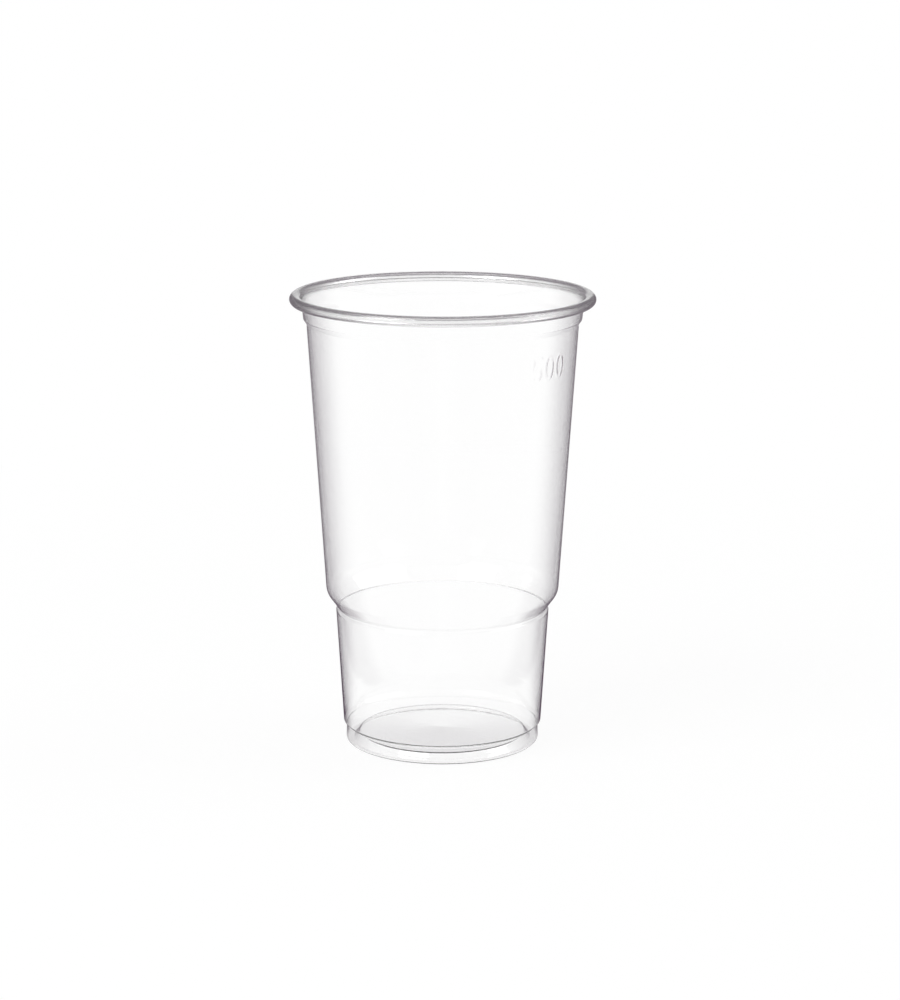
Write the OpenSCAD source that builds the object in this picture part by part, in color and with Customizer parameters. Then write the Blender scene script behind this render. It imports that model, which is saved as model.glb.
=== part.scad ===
// Clear plastic cup, thermoformed in one piece from a single sheet.
//
// The section is drawn the way the sheet runs. It starts on the flat ring that stands on the
// table. One strip climbs from there up the wall and ends in the rolled rim, and the other
// goes inwards to the raised base panel. Both are then turned round the cup's axis.

/* [Overall] */
// Height from the table to the crest of the rim
cup_h = 143; // [125:0.5:165]
// Outer diameter of the rolled rim, the widest part of the cup
rim_d = 95; // [88:0.5:105]

/* [Sheet] */
// Thickness of the sheet at the rim and the collar
rim_t = 0.5; // [0.4:0.05:0.6]
// Thickness of the sheet along the drawn walls
wall_t = 0.3; // [0.25:0.05:0.5]
// Thickness of the sheet at the foot and the base panel
base_t = 0.4; // [0.3:0.05:0.6]

/* [Rolled rim] */
// Outer height of the roll
roll_h = 3.2; // [3:0.1:3.6]
// How far the roll is wound on from the crest of the rim, in degrees
roll_turn = 500; // [380:10:520]
// Gap between one turn of the roll and the next
roll_gap = 0.1; // [0.05:0.05:0.2]
// How far the rim stands out past the collar, both taken at the crest
rim_w = 3.4; // [2.8:0.1:4]

/* [Collar] */
// Height of the collar, from its lower edge to the crest of the rim
collar_h = 7.5; // [6.5:0.1:12]
// Taper of the collar from upright, in degrees
collar_taper = 6.5; // [2:0.5:10]
// Height of the ledge between the collar and the upper wall
ledge_h = 1.7; // [1.4:0.1:3]
// How far the ledge sets the wall in from the collar
ledge_w = 0.9; // [0.6:0.1:1.6]
// Bend radius of the sheet at both edges of the ledge
ledge_r = 0.5; // [0.4:0.05:0.6]

/* [Walls] */
// Taper of the upper wall from upright, in degrees
upper_taper = 3.8; // [2.5:0.1:5]
// Taper of the lower wall from upright, in degrees
lower_taper = 3.6; // [2.5:0.1:5]

/* [Shoulder] */
// Height of the upper edge of the shoulder above the table
shoulder_z = 48.5; // [35:0.5:70]
// Height of the shoulder, from its upper edge to the bottom of the groove below it
shoulder_h = 5.4; // [4.6:0.1:8]
// How far the shoulder sets the lower wall in
shoulder_w = 3; // [2:0.1:4]
// Bend radius of the sheet at the upper edge of the shoulder
shoulder_r = 5; // [2:0.5:5.5]
// Height of the flank that leads from the bottom of the groove out to the lower wall
groove_h = 0.7; // [0.6:0.1:1.5]
// Depth of the groove, in from the top of the lower wall
groove_w = 0.9; // [0.6:0.1:1.4]
// Bend radius of the sheet at both edges of the groove's flank
groove_r = 0.5; // [0.4:0.05:0.5]

/* [Foot] */
// Height of the foot, from the table to the lower end of the wall
foot_h = 6.8; // [6:0.1:9]
// Height of the step between the wall and the foot
step_h = 2.1; // [1.4:0.1:2.6]
// How far the step sets the foot in from the wall
step_w = 1; // [0.6:0.1:1.4]
// Bend radius of the sheet at both edges of the step
step_r = 0.5; // [0.4:0.05:0.6]
// Flare of the foot from upright, in degrees
foot_flare = 2; // [0.5:0.5:10]
// Bend radius of the sheet at the outer corner of the foot
foot_r = 0.7; // [0.6:0.1:1.1]

/* [Base] */
// Width of the ring that stands on the table, between the corners of its bends
ring_w = 2.4; // [2.2:0.1:4]
// Bend radius of the sheet at the inner corner of the ring
ring_r = 0.8; // [0.5:0.1:1]
// Width of the slope that climbs from the ring to the base panel
slope_w = 1.8; // [1.4:0.1:4]
// Height of the edge of the base panel above the table, at the middle of the sheet
panel_z = 2.5; // [2:0.1:4]
// Bend radius of the sheet at the edge of the base panel
panel_r = 0.6; // [0.4:0.1:0.8]
// How much higher the middle of the base panel is than its edge
panel_dome = 0.4; // [0.2:0.1:1.5]

/* [Hidden] */
$fn = 128;
sheet_colour = [0.9, 0.93, 0.94, 0.45];

// Heights of the middle of the sheet at the crest of the rim and at the ring on the table
crest_z = cup_h - rim_t / 2;
ring_z = base_t / 2;

// Heights of the edges between the stretches of the sheet
collar_z = cup_h - collar_h;
ledge_z = collar_z - ledge_h;
groove_z = shoulder_z - shoulder_h;
wall_top_z = groove_z - groove_h;
step_z = foot_h - step_h;

// Radii of the middle of the sheet at those edges, from the rim down to the foot
crest_x = rim_d / 2 - rim_w - rim_t / 2;
collar_x = crest_x - (crest_z - collar_z) * tan(collar_taper);
ledge_x = collar_x - ledge_w;
shoulder_x = ledge_x - (ledge_z - shoulder_z) * tan(upper_taper);
wall_top_x = shoulder_x - shoulder_w;
groove_x = wall_top_x - groove_w;
wall_low_x = wall_top_x - (wall_top_z - foot_h) * tan(lower_taper);
step_x = wall_low_x - step_w;
foot_x = step_x + (step_z - ring_z) * tan(foot_flare);
ring_x = foot_x - ring_w;
panel_x = ring_x - slope_w;

// The flat ring starts both strips at its middle
start = [foot_x - ring_w / 2, ring_z];

// Roll of the rim, measured at the middle of the sheet
roll_mid_r = (roll_h - rim_t) / 2;
roll_pitch = rim_t + roll_gap;
roll_x = rim_d / 2 - roll_h / 2;
crest_r = (roll_x - crest_x) / tan((90 - collar_taper) / 2);

// Corners of the outer strip as [radius, height, bend radius, thickness]
wall_path = [
    [start.x, ring_z, 0, base_t],
    [foot_x, ring_z, foot_r, base_t],
    [step_x, step_z, step_r, base_t],
    [wall_low_x, foot_h, step_r, wall_t],
    [wall_top_x, wall_top_z, groove_r, wall_t],
    [groove_x, groove_z, groove_r, wall_t],
    [shoulder_x, shoulder_z, shoulder_r, wall_t],
    [ledge_x, ledge_z, ledge_r, wall_t],
    [collar_x, collar_z, ledge_r, rim_t],
    [crest_x, crest_z, crest_r, rim_t],
    [roll_x, crest_z, 0, rim_t]
];

// Corners of the base strip, from the ring to its mirror place past the axis, where it is trimmed
base_path = [
    [start.x, ring_z, 0, base_t],
    [ring_x, ring_z, ring_r, base_t],
    [panel_x, panel_z, panel_r, base_t],
    [-panel_x, panel_z + 2 * panel_dome, 0, base_t]
];

// Heading of a path as it leaves corner i, in degrees
function heading(path, i) = atan2(path[i + 1].y - path[i].y, path[i + 1].x - path[i].x);

// Angle that a path turns at corner i, to the left where it is positive
function turn(path, i) =
    let (a = heading(path, i) - heading(path, i - 1))
    a > 180 ? a - 360 : a < -180 ? a + 360 : a;

// Length of straight sheet that the bend at corner i takes up on each side of the corner
function tangent(path, i) = path[i][2] == 0 ? 0 : path[i][2] * tan(abs(turn(path, i)) / 2);

// Distance between two corners
function gap(a, b) = norm([b.x - a.x, b.y - a.y]);

// A straight piece of sheet along +X, whose children start where it ends
module run(length, t_start, t_end) {
    polygon([[0, -t_start / 2], [length, -t_end / 2], [length, t_end / 2], [0, t_start / 2]]);
    translate([length, 0])
        children();
}

// A bend of the sheet that starts along +X, whose children start where it ends
module bend(radius, angle, t) {
    side = sign(angle);
    // Side of a square that covers the whole circle
    cover = 2 * radius + t;
    intersection() {
        translate([0, side * radius])
            difference() {
                circle(r = radius + t / 2);
                circle(r = radius - t / 2);
            }
        translate([0, -cover])
            square([cover, 2 * cover]);
        translate([0, side * radius])
            rotate(angle)
                translate([-cover, -cover])
                    square([cover, 2 * cover]);
    }
    translate([0, side * radius])
        rotate(angle)
            translate([0, -side * radius])
                children();
}

// The sheet from the end of the bend at corner i to the end of the next one
module stretch(path, i) {
    run(gap(path[i], path[i + 1]) - tangent(path, i) - tangent(path, i + 1), path[i][3], path[i + 1][3])
        bend(path[i + 1][2], turn(path, i + 1), path[i + 1][3])
            children();
}

// Half of the flat ring, the rounded corner and the flared side of the foot
module foot() {
    stretch(wall_path, 0)
        stretch(wall_path, 1)
            children();
}

// The step that carries the next cup of a stack
module stacking_step() {
    stretch(wall_path, 2)
        children();
}

module lower_wall() {
    stretch(wall_path, 3)
        children();
}

// The groove under the shoulder, where the next cup of a stack comes to rest
module groove() {
    stretch(wall_path, 4)
        children();
}

module shoulder() {
    stretch(wall_path, 5)
        children();
}

module upper_wall() {
    stretch(wall_path, 6)
        children();
}

module ledge() {
    stretch(wall_path, 7)
        children();
}

// The collar and the curve that takes it out to the crest of the rim
module collar() {
    stretch(wall_path, 8)
        children();
}

// The edge of the sheet, wound outwards, down and on inside itself, in half turns that get smaller
module rolled_rim(radius = roll_mid_r, left = roll_turn) {
    bend(radius, -min(left, 180), rim_t)
        if (left > 180)
            rolled_rim(radius - roll_pitch / 2, left - 180);
}

// The other half of the flat ring, the slope and the raised panel, up to the axis
module base_panel() {
    rotate(heading(base_path, 0))
        stretch(base_path, 0)
            stretch(base_path, 1)
                run(gap(base_path[2], base_path[3]) - tangent(base_path, 2), base_t, base_t);
}

// The whole sheet, trimmed at the axis
module section() {
    intersection() {
        union() {
            translate(start)
                foot()
                    stacking_step()
                        lower_wall()
                            groove()
                                shoulder()
                                    upper_wall()
                                        ledge()
                                            collar()
                                                rolled_rim();
            translate(start)
                base_panel();
        }
        translate([0, -rim_d])
            square([rim_d, cup_h + 2 * rim_d]);
    }
}

module cup() {
    color(sheet_colour)
        rotate_extrude()
            section();
}

cup();
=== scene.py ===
"""Dresses the clear plastic cup and stands it in a white studio.

The cup is one thermoformed sheet of clear polypropylene. Its section is followed here the way the
sheet runs, from the middle of the base to the cut edge inside the rolled rim, and is turned round
the cup's axis as one closed mesh with both faces of the sheet. Sizes are in millimetres and become
metres where a vertex, a lamp or the camera is placed.
"""

from __future__ import annotations

import logging
import math
from dataclasses import dataclass
from enum import Enum
from typing import Iterator, Sequence

import bmesh
import bpy
from mathutils import Matrix, Vector


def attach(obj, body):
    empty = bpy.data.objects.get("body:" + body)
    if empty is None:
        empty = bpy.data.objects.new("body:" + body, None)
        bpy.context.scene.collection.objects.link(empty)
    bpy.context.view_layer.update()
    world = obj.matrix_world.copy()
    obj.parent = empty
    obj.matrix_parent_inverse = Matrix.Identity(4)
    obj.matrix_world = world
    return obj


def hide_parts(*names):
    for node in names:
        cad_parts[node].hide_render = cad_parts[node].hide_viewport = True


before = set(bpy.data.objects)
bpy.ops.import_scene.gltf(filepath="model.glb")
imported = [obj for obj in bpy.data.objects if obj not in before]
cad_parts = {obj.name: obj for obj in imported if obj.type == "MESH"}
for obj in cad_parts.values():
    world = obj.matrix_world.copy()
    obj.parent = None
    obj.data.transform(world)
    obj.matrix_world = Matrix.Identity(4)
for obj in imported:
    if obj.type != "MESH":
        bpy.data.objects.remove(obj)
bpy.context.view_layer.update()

LOG = logging.getLogger("cup")
WHITE = "#FFFFFF"

# A millimetre in metres, and turns in degrees
MM = 0.001
HALF_TURN = 180
FULL_TURN = 360

# Degrees between the points of a numeral's curves
ARC_STEP = 15

# A ray's count of bounces is above this from the first bounce on
FIRST_BOUNCE = 0.5

# Kinds of nodes that are used again and again, and the Mix node's sockets for colours
MATH = "ShaderNodeMath"
VECTOR_MATH = "ShaderNodeVectorMath"
MAP_RANGE = "ShaderNodeMapRange"
MIX_A, MIX_B, MIX_RESULT = 6, 7, 2

# A place in a plane, a first and a last value, and a place in space
Point = tuple[float, float]
Span = tuple[float, float]
Place = tuple[float, float, float]


def linear(colour: str) -> tuple[float, float, float, float]:
    """Turns an sRGB hex colour into linear light.

    Args:
        colour: The colour as #RRGGBB.

    Returns:
        Red, green, blue and an alpha of 1, all from 0 to 1.
    """
    shares = (int(colour[i : i + 2], 16) / 255 for i in (1, 3, 5))
    red, green, blue = (s / 12.92 if s <= 0.04045 else ((s + 0.055) / 1.055) ** 2.4 for s in shares)
    return red, green, blue, 1.0


def metres(place: Sequence[float]) -> Vector:
    """Gives a place in millimetres as a vector in metres."""
    return Vector(place) * MM


def lean(taper: float) -> float:
    """Gives how far a wall leans out for its height, from its taper in degrees from upright."""
    return math.tan(math.radians(taper))


def ease(low: float, high: float, value: float) -> float:
    """Rises smoothly from 0 at low to 1 at high.

    Args:
        low: The value at which the rise starts.
        high: The value at which it ends.
        value: The value to judge.

    Returns:
        A share from 0 to 1.
    """
    share = min(max((value - low) / (high - low), 0.0), 1.0)
    return share * share * (3 - 2 * share)


def distance(x: float, y: float, start: Point, end: Point) -> float:
    """Measures how far a point lies from a straight stroke.

    Args:
        x: The point's first coordinate.
        y: The point's second coordinate.
        start: One end of the stroke.
        end: Its other end.

    Returns:
        The shortest distance.
    """
    run_x, run_y = end[0] - start[0], end[1] - start[1]
    share = ((x - start[0]) * run_x + (y - start[1]) * run_y) / (run_x * run_x + run_y * run_y)
    share = min(max(share, 0.0), 1.0)
    return math.hypot(x - start[0] - share * run_x, y - start[1] - share * run_y)


def arc(first: int, last: int, half_w: float, half_h: float, middle: float = 0.0) -> list[Point]:
    """Follows part of an ellipse.

    Args:
        first: Angle of its first point, in degrees up and round from the right.
        last: Angle of its last point.
        half_w: Half of the ellipse's width.
        half_h: Half of its height.
        middle: Height of its middle.

    Returns:
        The points in order.
    """
    step = ARC_STEP if last > first else -ARC_STEP
    angles = [math.radians(angle) for angle in range(first, last + step, step)]
    return [(half_w * math.cos(a), middle + half_h * math.sin(a)) for a in angles]


def add_object(name: str, data: bpy.types.ID) -> bpy.types.Object:
    """Adds an object to the scene.

    Args:
        name: The object's name.
        data: Its mesh, lamp or camera.

    Returns:
        The new object.
    """
    piece = bpy.data.objects.new(name, data)
    bpy.context.scene.collection.objects.link(piece)
    return piece


def empty_tree(owner: bpy.types.Material | bpy.types.World) -> bpy.types.NodeTree:
    """Gives a material or a world an empty tree of nodes.

    Args:
        owner: The material or the world.

    Returns:
        Its tree.
    """
    owner.use_nodes = True
    owner.node_tree.nodes.clear()
    return owner.node_tree


def add_node(
    tree: bpy.types.NodeTree,
    kind: str,
    settings: dict[str | int, object] | None = None,
    links: dict[str | int, bpy.types.NodeSocket] | None = None,
) -> bpy.types.Node:
    """Adds a node with its settings and its links.

    Args:
        tree: The tree that takes the node.
        kind: The node's type name.
        settings: Values of the node's own properties, or else of its inputs, by name or index.
        links: The outputs that feed its inputs, by the input's name or index.

    Returns:
        The new node.
    """
    node = tree.nodes.new(kind)
    for name, value in (settings or {}).items():
        if isinstance(name, str) and hasattr(node, name):
            setattr(node, name, value)
        else:
            node.inputs[name].default_value = value
    for name, source in (links or {}).items():
        tree.links.new(source, node.inputs[name])
    return node


class Face(Enum):
    """The two faces of the sheet, with the side of the path that each lies on."""

    INSIDE = 1
    OUTSIDE = -1


@dataclass(frozen=True)
class Corner:
    """A corner of the path that the middle of the sheet follows.

    Attributes:
        r: Distance from the cup's axis.
        z: Height above the table.
        bend: Bend radius at the middle of the sheet.
        sheet: Thickness of the sheet.
    """

    r: float
    z: float
    bend: float
    sheet: float


@dataclass(frozen=True)
class Station:
    """A place along the middle of the sheet.

    Attributes:
        r: Distance from the cup's axis.
        z: Height above the table.
        heading: Direction in which the sheet runs on, in radians, with outwards as 0.
        sheet: Thickness of the sheet.
    """

    r: float
    z: float
    heading: float
    sheet: float

    def normal(self) -> Point:
        """Gives the unit vector from the middle of the sheet to its inside face."""
        return -math.sin(self.heading), math.cos(self.heading)

    def on_face(self, face: Face, lift: float = 0.0) -> Point:
        """Gives the point of one face that lies at this station.

        Args:
            face: The face that is asked for.
            lift: How far the whole sheet is pushed outwards here.

        Returns:
            Its distance from the axis and its height.
        """
        out_r, out_z = self.normal()
        reach = face.value * self.sheet / 2 - lift
        return self.r + out_r * reach, self.z + out_z * reach

    def towards(self, end: Station, share: float) -> Station:
        """Gives a station on the straight way to another one.

        Args:
            end: The other station.
            share: How much of the way lies behind, from 0 to 1.

        Returns:
            The station, with this one's heading.
        """
        r = self.r + (end.r - self.r) * share
        z = self.z + (end.z - self.z) * share
        return Station(r, z, self.heading, self.sheet + (end.sheet - self.sheet) * share)


@dataclass(frozen=True)
class SheetSection:
    """The sheet's section, in millimetres and degrees.

    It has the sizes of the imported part. Only the step above the foot is sharper, as its line in the
    picture is. Widths and heights between edges are measured at the middle of the sheet.

    Attributes:
        cup_h: Height from the table to the crest of the rim.
        rim_d: Outer diameter of the rolled rim, the widest part of the cup.
        rim_t: Thickness of the sheet at the rim and the collar.
        wall_t: Thickness of the sheet along the drawn walls.
        base_t: Thickness of the sheet at the foot and the base panel.
        roll_h: Outer height of the roll.
        roll_turn: How far the roll is wound on from the crest of the rim.
        roll_gap: Gap between one turn of the roll and the next.
        rim_w: How far the rim stands out past the collar, both taken at the crest.
        collar_h: Height from the collar's lower edge to the crest of the rim.
        collar_taper: Taper of the collar from upright.
        ledge_h: Height of the ledge between the collar and the upper wall.
        ledge_w: How far the ledge sets the wall in from the collar.
        ledge_r: Bend radius at both edges of the ledge.
        upper_taper: Taper of the upper wall from upright.
        lower_taper: Taper of the lower wall from upright.
        shoulder_z: Height of the shoulder's upper edge above the table.
        shoulder_h: Height from that edge down to the bottom of the groove.
        shoulder_w: How far the shoulder sets the lower wall in.
        shoulder_r: Bend radius at the shoulder's upper edge.
        groove_h: Height of the flank from the bottom of the groove to the lower wall.
        groove_w: Depth of the groove, in from the top of the lower wall.
        groove_r: Bend radius at both edges of that flank.
        foot_h: Height of the foot, from the table to the lower end of the wall.
        step_h: Height of the step between the wall and the foot.
        step_w: How far the step sets the foot in from the wall.
        step_r: Bend radius at both edges of the step.
        foot_flare: Flare of the foot from upright.
        foot_r: Bend radius at the foot's outer corner.
        ring_w: Width of the ring that stands on the table.
        ring_r: Bend radius at the ring's inner corner.
        slope_w: Width of the slope from the ring up to the base panel.
        panel_z: Height of the base panel's edge above the table.
        panel_r: Bend radius at that edge.
        panel_dome: How much higher the middle of the base panel is than its edge.
        row_gap: Distance between the mesh's rows along a straight run.
        hold_gap: Distance from each end of a run to the row that holds its shading.
        least_run: A run that is no longer than this gets no rows.
        bend_step: The most that the sheet turns from one row to the next.
    """

    cup_h: float = 143.0
    rim_d: float = 95.0
    rim_t: float = 0.5
    wall_t: float = 0.3
    base_t: float = 0.4
    roll_h: float = 3.2
    roll_turn: float = 500.0
    roll_gap: float = 0.1
    rim_w: float = 3.4
    collar_h: float = 7.5
    collar_taper: float = 6.5
    ledge_h: float = 1.7
    ledge_w: float = 0.9
    ledge_r: float = 0.5
    upper_taper: float = 3.8
    lower_taper: float = 3.6
    shoulder_z: float = 48.5
    shoulder_h: float = 5.4
    shoulder_w: float = 3.0
    shoulder_r: float = 5.0
    groove_h: float = 0.7
    groove_w: float = 0.9
    groove_r: float = 0.5
    foot_h: float = 6.3
    step_h: float = 0.9
    step_w: float = 1.0
    step_r: float = 0.4
    foot_flare: float = 2.0
    foot_r: float = 0.7
    ring_w: float = 2.4
    ring_r: float = 0.8
    slope_w: float = 1.8
    panel_z: float = 2.5
    panel_r: float = 0.6
    panel_dome: float = 0.4
    row_gap: float = 6.0
    hold_gap: float = 0.2
    least_run: float = 0.02
    bend_step: float = 11.0

    def corners(self) -> list[Corner]:
        """Works out the corners of the path that the sheet follows.

        Returns:
            The corners, from the axis out along the base and up to the rim.
        """
        crest_z = self.cup_h - self.rim_t / 2
        ring_z = self.base_t / 2
        collar_z = self.cup_h - self.collar_h
        ledge_z = collar_z - self.ledge_h
        groove_z = self.shoulder_z - self.shoulder_h
        wall_top_z = groove_z - self.groove_h
        step_z = self.foot_h - self.step_h
        crest = self.rim_d / 2 - self.rim_w - self.rim_t / 2
        collar = crest - (crest_z - collar_z) * lean(self.collar_taper)
        ledge = collar - self.ledge_w
        shoulder = ledge - (ledge_z - self.shoulder_z) * lean(self.upper_taper)
        wall_top = shoulder - self.shoulder_w
        wall_low = wall_top - (wall_top_z - self.foot_h) * lean(self.lower_taper)
        step = wall_low - self.step_w
        foot = step + (step_z - ring_z) * lean(self.foot_flare)
        ring = foot - self.ring_w
        roll = self.rim_d / 2 - self.roll_h / 2
        crest_r = (roll - crest) / math.tan(math.radians(90 - self.collar_taper) / 2)
        return [
            Corner(0, self.panel_z + self.panel_dome, 0, self.base_t),
            Corner(ring - self.slope_w, self.panel_z, self.panel_r, self.base_t),
            Corner(ring, ring_z, self.ring_r, self.base_t),
            Corner(foot, ring_z, self.foot_r, self.base_t),
            Corner(step, step_z, self.step_r, self.base_t),
            Corner(wall_low, self.foot_h, self.step_r, self.wall_t),
            Corner(wall_top, wall_top_z, self.groove_r, self.wall_t),
            Corner(wall_top - self.groove_w, groove_z, self.groove_r, self.wall_t),
            Corner(shoulder, self.shoulder_z, self.shoulder_r, self.wall_t),
            Corner(ledge, ledge_z, self.ledge_r, self.wall_t),
            Corner(collar, collar_z, self.ledge_r, self.rim_t),
            Corner(crest, crest_z, crest_r, self.rim_t),
            Corner(roll, crest_z, 0, self.rim_t),
        ]

    def bend(self, start: Station, radius: float, turn: float) -> Iterator[Station]:
        """Follows a bend of the sheet.

        Args:
            start: The station where the bend starts.
            radius: Its radius at the middle of the sheet.
            turn: How far it turns, in radians, with left as positive.

        Yields:
            The stations after the start, to the end of the bend.
        """
        side = math.copysign(radius, turn)
        centre_r = start.r - side * math.sin(start.heading)
        centre_z = start.z + side * math.cos(start.heading)
        count = math.ceil(abs(math.degrees(turn)) / self.bend_step)
        for i in range(1, count + 1):
            heading = start.heading + turn * i / count
            r = centre_r + side * math.sin(heading)
            z = centre_z - side * math.cos(heading)
            yield Station(r, z, heading, start.sheet)

    def run(self, start: Station, end: Station, fine: CapacityMark) -> Iterator[Station]:
        """Follows a straight run of the sheet, with a row close to each end to hold its shading.

        Args:
            start: The station where the run starts.
            end: The station where it ends.
            fine: The mark whose band of heights gets close rows.

        Yields:
            The stations after the start, to the end of the run.
        """
        length = math.hypot(end.r - start.r, end.z - start.z)
        along = self.hold_gap
        while along < length - self.hold_gap:
            here = start.towards(end, along / length)
            yield here
            along += fine.row_gap(here.z, self.row_gap)
        if length > 2 * self.hold_gap:
            yield start.towards(end, 1 - self.hold_gap / length)
        yield end

    def stations(self, fine: CapacityMark) -> list[Station]:
        """Follows the whole sheet, from the axis to the cut edge inside the roll.

        Args:
            fine: The mark whose band of heights gets close rows.

        Returns:
            The stations in order.
        """
        path = self.corners()
        headings = [math.atan2(b.z - a.z, b.r - a.r) for a, b in zip(path, path[1:])]
        here = Station(path[0].r, path[0].z, headings[0], path[0].sheet)
        found = [here]
        for corner, heading, onward in zip(path[1:], headings, headings[1:] + headings[-1:]):
            turn = math.remainder(onward - heading, math.tau)
            back = corner.bend * math.tan(abs(turn) / 2)
            end_r = corner.r - back * math.cos(heading)
            end_z = corner.z - back * math.sin(heading)
            end = Station(end_r, end_z, heading, corner.sheet)
            if math.hypot(end.r - here.r, end.z - here.z) > self.least_run:
                found += self.run(here, end, fine)
            if corner.bend:
                found += self.bend(end, corner.bend, turn)
            here = found[-1]
        radius, left = (self.roll_h - self.rim_t) / 2, self.roll_turn
        while left > 0:
            wound = min(left, HALF_TURN)
            found += self.bend(found[-1], radius, -math.radians(wound))
            radius, left = radius - (self.rim_t + self.roll_gap) / 2, left - wound
        return found


class Numeral(Enum):
    """The numerals of the capacity mark."""

    FIVE = "5"
    NOUGHT = "0"

    def strokes(self, width: float, height: float) -> list[Point]:
        """Gives the line that the numeral is drawn along, round its own middle.

        Args:
            width: Width of the numeral between the middles of its strokes.
            height: Height of the numeral between the middles of its strokes.

        Returns:
            The points of the line in order.
        """
        half_w, half_h = width / 2, height / 2
        if self is Numeral.NOUGHT:
            return arc(0, FULL_TURN, half_w, half_h)
        # The five goes left along its bar, down its stem and round its open bowl
        bar_x, stem_z = -0.8 * half_w, 0.02 * height
        bowl_z, bowl_h = -0.2 * height, 0.3 * height
        bowl = arc(135, -135, half_w, bowl_h, bowl_z)
        return [(half_w, half_h), (bar_x, half_h), (-half_w, stem_z), *bowl]


@dataclass(frozen=True)
class CapacityMark:
    """The plain numerals that the mould presses into the wall, about where half a litre stands.

    Attributes:
        numerals: The numerals, from left to right.
        azimuth: Where the mark's middle lies, in degrees to the right of the front.
        middle_z: Height of its middle above the table.
        numeral_h: Height of a numeral, outside.
        numeral_w: Width of a numeral, outside.
        numeral_gap: Gap between two numerals.
        stroke: Width of the pressed strokes, at the middle of their rounded edges.
        flank: Width of those edges.
        relief: How far the strokes stand out.
        fine_gap: Distance between the mesh lines across the mark.
        margin: How far those lines go on past the numerals.
    """

    numerals: tuple[Numeral, ...] = (Numeral.FIVE, Numeral.NOUGHT, Numeral.NOUGHT)
    azimuth: float = 51.0
    middle_z: float = 124.2
    numeral_h: float = 7.6
    numeral_w: float = 4.2
    numeral_gap: float = 1.3
    stroke: float = 0.9
    flank: float = 0.5
    relief: float = 0.2
    fine_gap: float = 0.28
    margin: float = 1.2

    def reach(self) -> float:
        """Gives how far the band of fine lines goes to each side of the mark's middle."""
        count = len(self.numerals)
        return (count * self.numeral_w + (count - 1) * self.numeral_gap) / 2 + self.margin

    def band(self) -> Span:
        """Gives the heights between which the mesh has fine lines."""
        half = self.numeral_h / 2
        return self.middle_z - half - self.margin, self.middle_z + half + self.margin

    def row_gap(self, height: float, coarse: float) -> float:
        """Gives the distance from a row of the mesh to the next one.

        Args:
            height: The row's height.
            coarse: The distance between rows away from the mark.

        Returns:
            The close spacing in the mark's band, and up to it no more than reaches it.
        """
        low, high = self.band()
        if height < low:
            return min(coarse, max(low - height, self.fine_gap))
        return self.fine_gap if height < high else coarse

    def paths(self) -> list[list[Point]]:
        """Places the line of every numeral on the wall.

        Returns:
            Each line as points along the wall from the mark's middle, with their heights.
        """
        inner_w, inner_h = self.numeral_w - self.stroke, self.numeral_h - self.stroke
        first = self.margin - self.reach() + self.numeral_w / 2
        paths = []
        for i, numeral in enumerate(self.numerals):
            middle = first + i * (self.numeral_w + self.numeral_gap)
            line = numeral.strokes(inner_w, inner_h)
            paths.append([(middle + x, self.middle_z + z) for x, z in line])
        return paths

    def lift(self, paths: list[list[Point]], along: float, height: float) -> float:
        """Gives how far the wall is pressed outwards at one place.

        Args:
            paths: The strokes, as paths() gives them.
            along: Distance along the wall from the middle of the mark, to the right.
            height: Height above the table.

        Returns:
            The lift in millimetres, 0 away from the strokes.
        """
        low, high = self.band()
        if not (low < height < high and abs(along) < self.reach()):
            return 0.0
        near = min(distance(along, height, a, b) for path in paths for a, b in zip(path, path[1:]))
        inner, outer = (self.stroke - self.flank) / 2, (self.stroke + self.flank) / 2
        return self.relief * (1 - ease(inner, outer, near))


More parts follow.
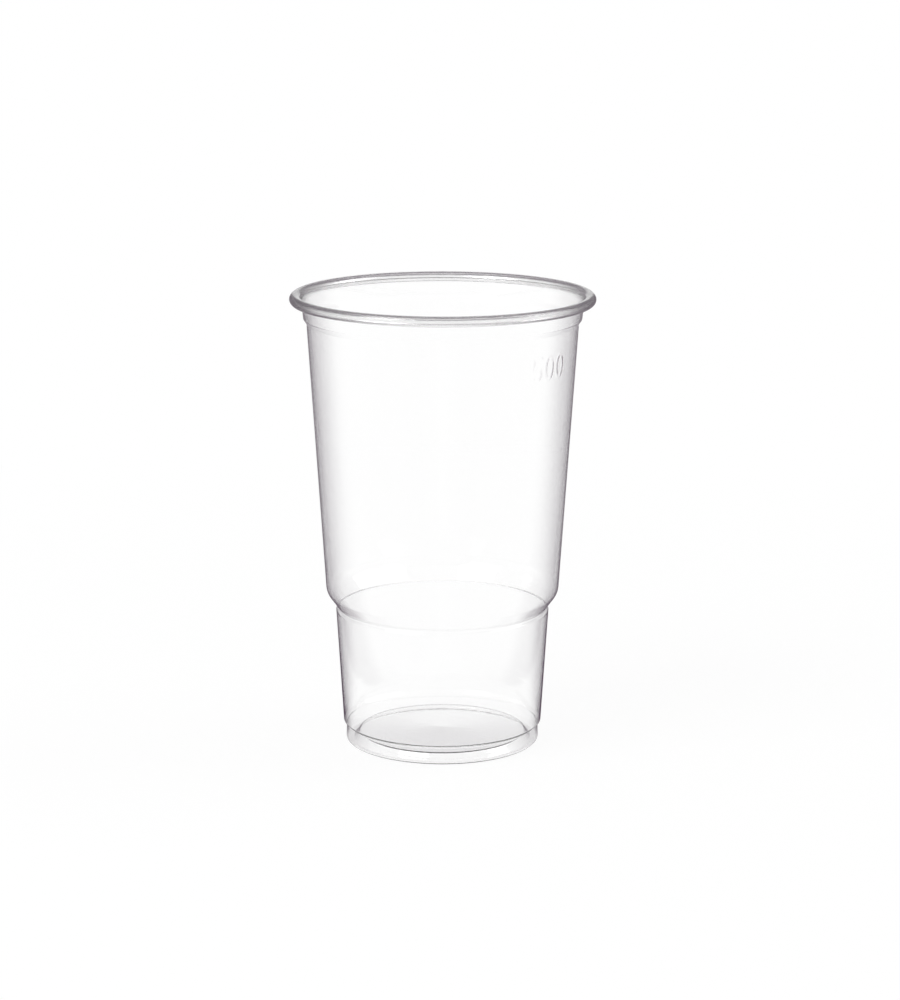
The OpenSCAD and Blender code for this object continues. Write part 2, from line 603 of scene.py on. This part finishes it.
@dataclass(frozen=True)
class ThermoformedPolypropylene:
    """Clear polypropylene sheet, thermoformed, so drawn down its walls against a polished mould.

    It is colourless and glossy, with a faint haze. The draw leaves long upright waves in it, which
    show as soft streaks in what the walls mirror.

    Attributes:
        name: Name of the material.
        colour: Tint of the sheet.
        ior: Index of refraction of polypropylene.
        gloss: Roughness where the sheet is clearest and where its haze is strongest.
        haze_size: Size of the hazy patches.
        haze_span: Values of their noise at which the sheet is clearest and haziest.
        haze_detail: How finely the patches' edges are broken up.
        curl_from: Heights between which the sheet turns duller, where its rim was rolled over hot.
        curl_haze: How much roughness that adds.
        streak_width: Width of the waves that the draw leaves.
        streak_stretch: How many times longer than wide they are.
        streak_depth: Their depth.
        streak_detail: How finely they are broken up.
        streak_mix: How much those finer waves count.
    """

    name: str = "thermoformed_clear_polypropylene"
    colour: str = WHITE
    ior: float = 1.49
    gloss: Span = (0.02, 0.05)
    haze_size: float = 9.0
    haze_span: Span = (0.35, 0.65)
    haze_detail: float = 3.0
    curl_from: Span = (139.4, 140.0)
    curl_haze: float = 0.12
    streak_width: float = 2.4
    streak_stretch: float = 18.0
    streak_depth: float = 0.012
    streak_detail: float = 1.0
    streak_mix: float = 0.4

    def material(self) -> bpy.types.Material:
        """Builds the node material.

        Returns:
            The material.
        """
        made = bpy.data.materials.new(self.name)
        tree = empty_tree(made)
        place = add_node(tree, "ShaderNodeTexCoord").outputs["Object"]
        shader = add_node(
            tree,
            "ShaderNodeBsdfPrincipled",
            {"Base Color": linear(self.colour), "IOR": self.ior, "Transmission Weight": 1.0},
            {"Roughness": self.roughness(tree, place), "Normal": self.waves(tree, place)},
        )
        add_node(tree, "ShaderNodeOutputMaterial", links={"Surface": shader.outputs["BSDF"]})
        return made

    def roughness(
        self, tree: bpy.types.NodeTree, place: bpy.types.NodeSocket
    ) -> bpy.types.NodeSocket:
        """Adds the nodes of the haze, in patches all over and even along the rolled rim.

        Args:
            tree: The tree that takes the nodes.
            place: The output that gives the place on the cup.

        Returns:
            The output that gives the roughness.
        """
        noise = add_node(
            tree,
            "ShaderNodeTexNoise",
            {"Scale": 1 / (self.haze_size * MM), "Detail": self.haze_detail},
            {"Vector": place},
        )
        low, high = self.haze_span
        clear, hazy = self.gloss
        patches = add_node(
            tree,
            MAP_RANGE,
            {"From Min": low, "From Max": high, "To Min": clear, "To Max": hazy},
            {"Value": noise.outputs["Fac"]},
        )
        height = add_node(tree, "ShaderNodeSeparateXYZ", links={"Vector": place}).outputs["Z"]
        low, high = (z * MM for z in self.curl_from)
        curl = add_node(
            tree,
            MAP_RANGE,
            {"From Min": low, "From Max": high, "To Min": 0.0, "To Max": self.curl_haze},
            {"Value": height},
        )
        both = {0: patches.outputs["Result"], 1: curl.outputs["Result"]}
        return add_node(tree, MATH, {"operation": "ADD"}, both).outputs[0]

    def waves(self, tree: bpy.types.NodeTree, place: bpy.types.NodeSocket) -> bpy.types.NodeSocket:
        """Adds the nodes of the long waves that the draw leaves.

        Args:
            tree: The tree that takes the nodes.
            place: The output that gives the place on the cup.

        Returns:
            The output that gives the surface's direction.
        """
        drawn = add_node(
            tree,
            "ShaderNodeMapping",
            {"Scale": (1.0, 1.0, 1 / self.streak_stretch)},
            {"Vector": place},
        )
        noise = add_node(
            tree,
            "ShaderNodeTexNoise",
            {
                "Scale": 1 / (self.streak_width * MM),
                "Detail": self.streak_detail,
                "Roughness": self.streak_mix,
            },
            {"Vector": drawn.outputs["Vector"]},
        )
        bump = add_node(
            tree,
            "ShaderNodeBump",
            {"Distance": self.streak_depth * MM},
            {"Height": noise.outputs["Fac"]},
        )
        return bump.outputs["Normal"]


@dataclass(frozen=True)
class Cup:
    """The cup: its mesh, its finish and its place in the frame.

    Attributes:
        section: The sheet's section.
        mark: The mark pressed into its wall.
        finish: What it is made of.
        facet: Angle between the mesh's upright lines away from the mark, in degrees.
        inside_share: How much of the mark's relief comes through to the inside face.
        cut_angle: Edges sharper than this, in degrees, keep their crease.
    """

    section: SheetSection = SheetSection()
    mark: CapacityMark = CapacityMark()
    finish: ThermoformedPolypropylene = ThermoformedPolypropylene()
    facet: float = 2.0
    inside_share: float = 0.7
    cut_angle: float = 40.0

    def mark_radius(self) -> float:
        """Works out the wall's radius at the middle of the mark.

        Returns:
            The radius at the middle of the sheet.
        """
        middle = self.mark.middle_z
        ledge = next(corner for corner in self.section.corners() if corner.z > middle)
        return ledge.r - (ledge.z - middle) * lean(self.section.upper_taper)

    def columns(self) -> list[float]:
        """Places the mesh's upright lines, close together across the mark.

        Returns:
            Their angles, in degrees to the right of the front.
        """
        reach = math.degrees(self.mark.reach() / self.mark_radius())
        fine = math.degrees(self.mark.fine_gap / self.mark_radius())
        rest = FULL_TURN - 2 * reach
        fine_count = math.ceil(2 * reach / fine)
        coarse_count = math.ceil(rest / self.facet)
        start = self.mark.azimuth - reach
        across = [start + 2 * reach * i / fine_count for i in range(fine_count)]
        return across + [start + 2 * reach + rest * i / coarse_count for i in range(coarse_count)]

    def mesh(self) -> bpy.types.Mesh:
        """Turns the section round the axis, with the mark pressed into the wall.

        Returns:
            The closed mesh, in metres.
        """
        stations = self.section.stations(self.mark)
        columns = self.columns()
        paths = self.mark.paths()
        radius = self.mark_radius()

        def lift(station: Station, azimuth: float, face: Face) -> float:
            """Gives the mark's lift of one face of the sheet.

            Args:
                station: The station of the sheet.
                azimuth: Angle to the right of the front, in degrees.
                face: The face that is asked for.

            Returns:
                The lift in millimetres.
            """
            along = math.radians(math.remainder(azimuth - self.mark.azimuth, FULL_TURN)) * radius
            share = self.inside_share if face is Face.INSIDE else 1.0
            return share * self.mark.lift(paths, along, station.z)

        def ring(station: Station, face: Face) -> list[bmesh.types.BMVert]:
            """Adds the vertices of one face at one station.

            Args:
                station: The station of the sheet.
                face: The face that is asked for.

            Returns:
                A ring of vertices, or a single one on the axis.
            """
            if station.r == 0:
                return [built.verts.new(metres((0, 0, station.on_face(face)[1])))]
            made = []
            for azimuth in columns:
                r, z = station.on_face(face, lift(station, azimuth, face))
                turned = math.radians(azimuth)
                place = metres((r * math.sin(turned), -r * math.cos(turned), z))
                made.append(built.verts.new(place))
            return made

        built = bmesh.new()
        rings = [ring(s, Face.INSIDE) for s in stations]
        rings += [ring(s, Face.OUTSIDE) for s in reversed(stations)]
        count = len(columns)
        for lower, upper in zip(rings, rings[1:]):
            for i in range(count):
                j = (i + 1) % count
                spots = ((lower, i), (lower, j), (upper, j), (upper, i))
                corners = [verts[k % len(verts)] for verts, k in spots]
                built.faces.new(list(dict.fromkeys(corners)))
        bmesh.ops.recalc_face_normals(built, faces=built.faces[:])
        mesh = bpy.data.meshes.new("clear_cup")
        built.to_mesh(mesh)
        built.free()
        mesh.shade_smooth()
        mesh.set_sharp_from_angle(angle=math.radians(self.cut_angle))
        return mesh

    def build(self) -> bpy.types.Object:
        """Builds and dresses the cup in place of its plain solid.

        Returns:
            The cup's object.
        """
        piece = add_object("clear_cup", self.mesh())
        piece.data.materials.append(self.finish.material())
        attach(piece, "root")
        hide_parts("cup")
        return piece


@dataclass(frozen=True)
class PaintedReflectionCards:
    """Dark cards round a white window, on both sides of the cup, that only mirrored light shows.

    These cards are painted dark reflections. They are painted into the colour of the floor and of the
    surround, where only mirrored rays and rays that the sheet bends upwards see them; the camera and
    the light on the floor see white there. A clear sheet against white can't be seen. Where it is met
    at a glancing angle it mirrors the painted cards, and that draws its edges, its rim and its steps.
    What is seen straight through the sheet stays white from every side.

    Attributes:
        window: Angles from the middle of the window at which the cards start and are full.
        reach: Angles at which they start to fade and end.
        flatten: How much less they rise upwards than sideways.
        shifts: How far the window and the outer edge are pulled forward on the floor, so that they
            are wide round the foot.
        side_fade: How far the change between the cards in front and those behind reaches to each
            side of the cup's own plane: in metres on the floor, and as a share of a direction in
            the surround.
        overhead: Upward shares of a direction from which on the cards also darken what the sheet
            bends.
        near: Distances between which the cards behind change from their inner to their outer
            darkness. All of the surround counts as far.
        behind: Inner and outer darkness of the cards behind the cup.
        before: Darkness of those in front of it, on the camera's side.
        colour: Colour of the painted dark reflections, near black with a touch of violet.
    """

    window: Span = (8.0, 11.5)
    reach: Span = (52.0, 81.5)
    flatten: float = 0.56
    shifts: Span = (140.0, 16.0)
    side_fade: float = 0.02
    overhead: Span = (0.08, 0.2)
    near: Span = (70.0, 300.0)
    behind: Span = (1.0, 0.78)
    before: float = 0.03
    colour: str = "#3C143C"

    def angle(
        self, tree: bpy.types.NodeTree, parts: bpy.types.Node, shift: float
    ) -> bpy.types.NodeSocket:
        """Adds the nodes that measure the angle from the middle of the window.

        Args:
            tree: The tree that takes the nodes.
            parts: The node that gives the three parts of a place or a direction.
            shift: What is added to the distance in front of or behind the cup, in metres.

        Returns:
            The output that gives the angle in radians.
        """
        off = add_node(tree, MATH, {"operation": "ABSOLUTE"}, {0: parts.outputs["Y"]})
        depth = add_node(tree, MATH, {"operation": "ADD", 1: shift}, {0: off.outputs[0]})
        flat = {"operation": "MULTIPLY", 1: self.flatten}
        height = add_node(tree, MATH, flat, {0: parts.outputs["Z"]})
        seen = add_node(
            tree,
            "ShaderNodeCombineXYZ",
            links={"X": parts.outputs["X"], "Y": depth.outputs[0], "Z": height.outputs[0]},
        )
        unit = add_node(tree, VECTOR_MATH, {"operation": "NORMALIZE"}, {0: seen.outputs[0]})
        cosine = add_node(tree, "ShaderNodeSeparateXYZ", links={"Vector": unit.outputs[0]})
        found = add_node(tree, MATH, {"operation": "ARCCOSINE"}, {0: cosine.outputs["Y"]})
        return found.outputs[0]

    @staticmethod
    def edge(
        tree: bpy.types.NodeTree, angle: bpy.types.NodeSocket, span: Span, values: Span
    ) -> bpy.types.NodeSocket:
        """Adds a soft edge of the cards.

        Args:
            tree: The tree that takes the node.
            angle: The output that gives the angle.
            span: Angles between which the edge lies, in degrees.
            values: Darkness on its two sides.

        Returns:
            The output that gives the darkness.
        """
        low, high = (math.radians(value) for value in span)
        first, last = values
        settings = {
            "interpolation_type": "SMOOTHSTEP",
            "From Min": low,
            "From Max": high,
            "To Min": first,
            "To Max": last,
        }
        return add_node(tree, MAP_RANGE, settings, {"Value": angle}).outputs["Result"]

    def darkness(
        self, tree: bpy.types.NodeTree, place: bpy.types.NodeSocket, shifts: Span
    ) -> bpy.types.NodeSocket:
        """Adds the nodes that say how dark the cards are.

        Args:
            tree: The tree that takes the nodes.
            place: The place on the floor in metres, or the direction in the surround.
            shifts: What is added to the distance in front of or behind the cup for the window and
                for the outer edge.

        Returns:
            The output that gives the darkness, 0 where there is no card.
        """
        parts = add_node(tree, "ShaderNodeSeparateXYZ", links={"Vector": place})
        window_shift, reach_shift = (shift * MM for shift in shifts)
        inside = self.edge(tree, self.angle(tree, parts, window_shift), self.window, (0.0, 1.0))
        outside = self.edge(tree, self.angle(tree, parts, reach_shift), self.reach, (1.0, 0.0))
        ring = add_node(tree, MATH, {"operation": "MULTIPLY"}, {0: inside, 1: outside})
        away = add_node(tree, VECTOR_MATH, {"operation": "LENGTH"}, {0: place})
        start, end = (length * MM for length in self.near)
        inner, outer = self.behind
        behind = add_node(
            tree,
            MAP_RANGE,
            {"From Min": start, "From Max": end, "To Min": inner, "To Max": outer},
            {"Value": away.outputs["Value"]},
        )
        side = add_node(
            tree,
            MAP_RANGE,
            {"From Min": -self.side_fade, "From Max": self.side_fade, "To Min": self.before},
            {"Value": parts.outputs["Y"], "To Max": behind.outputs["Result"]},
        )
        both = {0: ring.outputs[0], 1: side.outputs["Result"]}
        return add_node(tree, MATH, {"operation": "MULTIPLY"}, both).outputs[0]

    def shown(
        self, tree: bpy.types.NodeTree, place: bpy.types.NodeSocket
    ) -> bpy.types.NodeSocket:
        """Adds the nodes that tell the rays that show the cards.

        Args:
            tree: The tree that takes the nodes.
            place: The place on the floor in metres, or the direction in the surround.

        Returns:
            The output that gives 1 for a mirrored ray and for one that the sheet bends upwards.
        """
        light = add_node(tree, "ShaderNodeLightPath")
        bounced = {"operation": "GREATER_THAN", 1: FIRST_BOUNCE}
        mirrored = add_node(tree, MATH, bounced, {0: light.outputs["Glossy Depth"]})
        low, high = self.overhead
        parts = add_node(tree, "ShaderNodeSeparateXYZ", links={"Vector": place})
        rising = {"From Min": low, "From Max": high}
        above = add_node(tree, MAP_RANGE, rising, {"Value": parts.outputs["Z"]})
        both = {0: above.outputs["Result"], 1: light.outputs["Is Transmission Ray"]}
        bent = add_node(tree, MATH, {"operation": "MULTIPLY"}, both)
        either = {0: bent.outputs[0], 1: mirrored.outputs[0]}
        return add_node(tree, MATH, {"operation": "MAXIMUM"}, either).outputs[0]

    def seen_colour(
        self, tree: bpy.types.NodeTree, place: bpy.types.NodeSocket, shifts: Span
    ) -> bpy.types.NodeSocket:
        """Adds the nodes that say which colour the studio has at a place or in a direction.

        Args:
            tree: The tree that takes the nodes.
            place: The place on the floor in metres, or the direction in the surround.
            shifts: What is added to the distance in front of or behind the cup for the window and
                for the outer edge.

        Returns:
            The output that gives white, and the dark colour of the painted reflections where a card
            is painted.
        """
        # Painted reflections: white, darkened towards the cards' colour only for mirrored and
        # upward-bent rays
        both = {0: self.darkness(tree, place, shifts), 1: self.shown(tree, place)}
        card = add_node(tree, MATH, {"operation": "MULTIPLY"}, both)
        mixed = add_node(
            tree,
            "ShaderNodeMix",
            {"data_type": "RGBA", MIX_A: linear(WHITE), MIX_B: linear(self.colour)},
            {0: card.outputs[0]},
        )
        return mixed.outputs[MIX_RESULT]


def looked_at(tree: bpy.types.NodeTree) -> bpy.types.NodeSocket:
    """Adds the nodes that tell a ray that the camera follows, also by way of the cup.

    Args:
        tree: The tree that takes the nodes.

    Returns:
        The output that gives 1 for camera, glossy and transmission rays, and 0 for the light that
        falls on a matt surface.
    """
    light = add_node(tree, "ShaderNodeLightPath")
    seen = light.outputs["Is Camera Ray"]
    for kind in ("Is Glossy Ray", "Is Transmission Ray"):
        either = {0: seen, 1: light.outputs[kind]}
        seen = add_node(tree, MATH, {"operation": "MAXIMUM"}, either).outputs[0]
    unscattered = {"operation": "LESS_THAN", 1: FIRST_BOUNCE}
    direct = add_node(tree, MATH, unscattered, {0: light.outputs["Diffuse Depth"]})
    both = {0: seen, 1: direct.outputs[0]}
    return add_node(tree, MATH, {"operation": "MULTIPLY"}, both).outputs[0]


@dataclass(frozen=True)
class PaintedBoard:
    """White board, rolled with matt paint, that the cup stands on.

    It shows neither grain nor gloss. It is white to the eye, and near the cup a small share of that
    white comes from the light that falls on it, which keeps the cup's shadow.

    Attributes:
        name: Name of the material.
        colour: Colour of the paint, an off-white.
        shadow_share: How much of the white near the cup comes from the light on it.
        shadow_reach: Distances from the cup at which that share starts to fade and is gone.
    """

    name: str = "painted_white_board"
    colour: str = "#F6F6F6"
    shadow_share: float = 0.07
    shadow_reach: Span = (150, 450)

    def material(self, cards: PaintedReflectionCards) -> bpy.types.Material:
        """Builds the node material.

        Args:
            cards: The dark cards, which are painted into the board as painted reflections.

        Returns:
            The material.
        """
        made = bpy.data.materials.new(self.name)
        tree = empty_tree(made)
        place = add_node(tree, "ShaderNodeTexCoord").outputs["Object"]
        # Painted reflections: the dark cards go into the board's colour, which only mirrored rays see
        shown = {
            "Color": cards.seen_colour(tree, place, cards.shifts),
            "Strength": looked_at(tree),
        }
        white = add_node(tree, "ShaderNodeEmission", links=shown)
        paint = add_node(tree, "ShaderNodeBsdfDiffuse", {"Color": linear(self.colour)})
        far = add_node(tree, VECTOR_MATH, {"operation": "LENGTH"}, {0: place})
        start, end = (length * MM for length in self.shadow_reach)
        share = add_node(
            tree,
            MAP_RANGE,
            {"From Min": start, "From Max": end, "To Min": self.shadow_share, "To Max": 0.0},
            {"Value": far.outputs["Value"]},
        )
        parts = {0: share.outputs["Result"], 1: white.outputs[0], 2: paint.outputs[0]}
        mixed = add_node(tree, "ShaderNodeMixShader", links=parts)
        add_node(tree, "ShaderNodeOutputMaterial", links={"Surface": mixed.outputs[0]})
        return made


@dataclass(frozen=True)
class Softbox:
    """A large soft lamp that is aimed at the middle of the cup.

    Attributes:
        name: Its name.
        place: Where it hangs.
        side: Length of its sides.
        watts: Its power.
    """

    name: str
    place: Place
    side: float
    watts: float

    def build(self, target: Place) -> bpy.types.Object:
        """Hangs the lamp.

        Args:
            target: What it is aimed at.

        Returns:
            The lamp's object.
        """
        lamp = bpy.data.lights.new(self.name, "AREA")
        lamp.shape = "SQUARE"
        lamp.size = self.side * MM
        lamp.energy = self.watts
        piece = add_object(self.name, lamp)
        piece.location = metres(self.place)
        aim = metres(target) - piece.location
        piece.rotation_euler = aim.to_track_quat("-Z", "Y").to_euler()
        return piece


@dataclass(frozen=True)
class Studio:
    """The white studio: a pale floor, a white surround, dark cards for the edges and soft lamps.

    Attributes:
        cards: The dark cards, which are painted reflections in the floor and the surround.
        board: What the floor is made of.
        lamps: The soft lamps.
        target: The place in the middle of the cup that they are aimed at.
        ambient: Strength of the surround's plain light on what stands in it.
        floor_size: Length of the floor's sides.
        floor_drop: How far the floor lies below the table's height, so that no faces share a plane.
    """

    cards: PaintedReflectionCards = PaintedReflectionCards()
    board: PaintedBoard = PaintedBoard()
    lamps: tuple[Softbox, ...] = (
        Softbox("key_softbox", (-900, -700, 1300), 900, 15),
        Softbox("fill_softbox", (1100, 200, 1200), 900, 7),
    )
    target: Place = (0, 0, 70)
    ambient: float = 0.55
    floor_size: float = 40000
    floor_drop: float = 0.02

    def floor(self) -> bpy.types.Object:
        """Lays the floor.

        Returns:
            The floor's object.
        """
        half = self.floor_size / 2
        spots = [(-half, -half), (half, -half), (half, half), (-half, half)]
        mesh = bpy.data.meshes.new("floor")
        mesh.from_pydata([metres((x, y, -self.floor_drop)) for x, y in spots], [], [(0, 1, 2, 3)])
        mesh.materials.append(self.board.material(self.cards))
        piece = add_object("floor", mesh)
        return piece

    def surround(self) -> bpy.types.World:
        """Builds the white surround, which a strength of 1 shows as white.

        Returns:
            The world.
        """
        world = bpy.data.worlds.new("white_surround")
        bpy.context.scene.world = world
        tree = empty_tree(world)
        direction = add_node(tree, "ShaderNodeTexCoord").outputs["Generated"]
        # Painted reflections: the dark cards go into the surround's colour too, for mirrored rays and
        # rays that the sheet bends upwards
        colour = {"Color": self.cards.seen_colour(tree, direction, (0.0, 0.0))}
        backdrop = add_node(tree, "ShaderNodeBackground", {"Strength": 1.0}, colour)
        even = {"Color": linear(WHITE), "Strength": self.ambient}
        plain = add_node(tree, "ShaderNodeBackground", even)
        parts = {0: looked_at(tree), 1: plain.outputs[0], 2: backdrop.outputs[0]}
        mixed = add_node(tree, "ShaderNodeMixShader", links=parts)
        add_node(tree, "ShaderNodeOutputWorld", links={"Surface": mixed.outputs[0]})
        return world

    def build(self) -> None:
        """Sets up the floor, the surround and the lamps."""
        self.floor()
        self.surround()
        for lamp in self.lamps:
            lamp.build(self.target)
        bpy.context.scene.view_settings.view_transform = "Standard"


@dataclass(frozen=True)
class ProductCamera:
    """The camera that took the picture, as the cup's outline and rims give it.

    Attributes:
        place: Where it stands: a little right of the cup's axis, in front of it and above it.
        pitch: How far it looks down, in degrees.
        roll: How far it is turned about its own line of sight, in degrees.
        lens: Focal length on the sensor's width.
        sensor: Width of the sensor.
    """

    place: Place = (2.35, -910.4, 283.8)
    pitch: float = 12.78
    roll: float = 0.107
    lens: float = 106.96
    sensor: float = 36.0

    def build(self) -> bpy.types.Object:
        """Sets up the camera and gives it to the scene.

        Returns:
            The camera's object.
        """
        data = bpy.data.cameras.new("product_camera")
        data.lens = self.lens
        data.sensor_width = self.sensor
        data.dof.use_dof = False
        piece = add_object("product_camera", data)
        piece.location = metres(self.place)
        tilt = Matrix.Rotation(math.radians(90 - self.pitch), 3, "X")
        piece.rotation_euler = (tilt @ Matrix.Rotation(math.radians(self.roll), 3, "Z")).to_euler()
        bpy.context.scene.camera = piece
        return piece


def main() -> None:
    """Builds the camera, the cup and the studio, in this order."""
    logging.basicConfig(level=logging.INFO, format="%(message)s")
    camera = ProductCamera().build()
    LOG.info("%s: %.2f mm lens", camera.name, camera.data.lens)
    cup = Cup().build()
    triangles = sum(len(p.vertices) - 2 for p in cup.data.polygons)
    LOG.info("%s: %d triangles, %s", cup.name, triangles, cup.data.materials[0].name)
    Studio().build()
    LOG.info("studio: floor, surround and lamps")


if __name__ == "__main__":
    main()
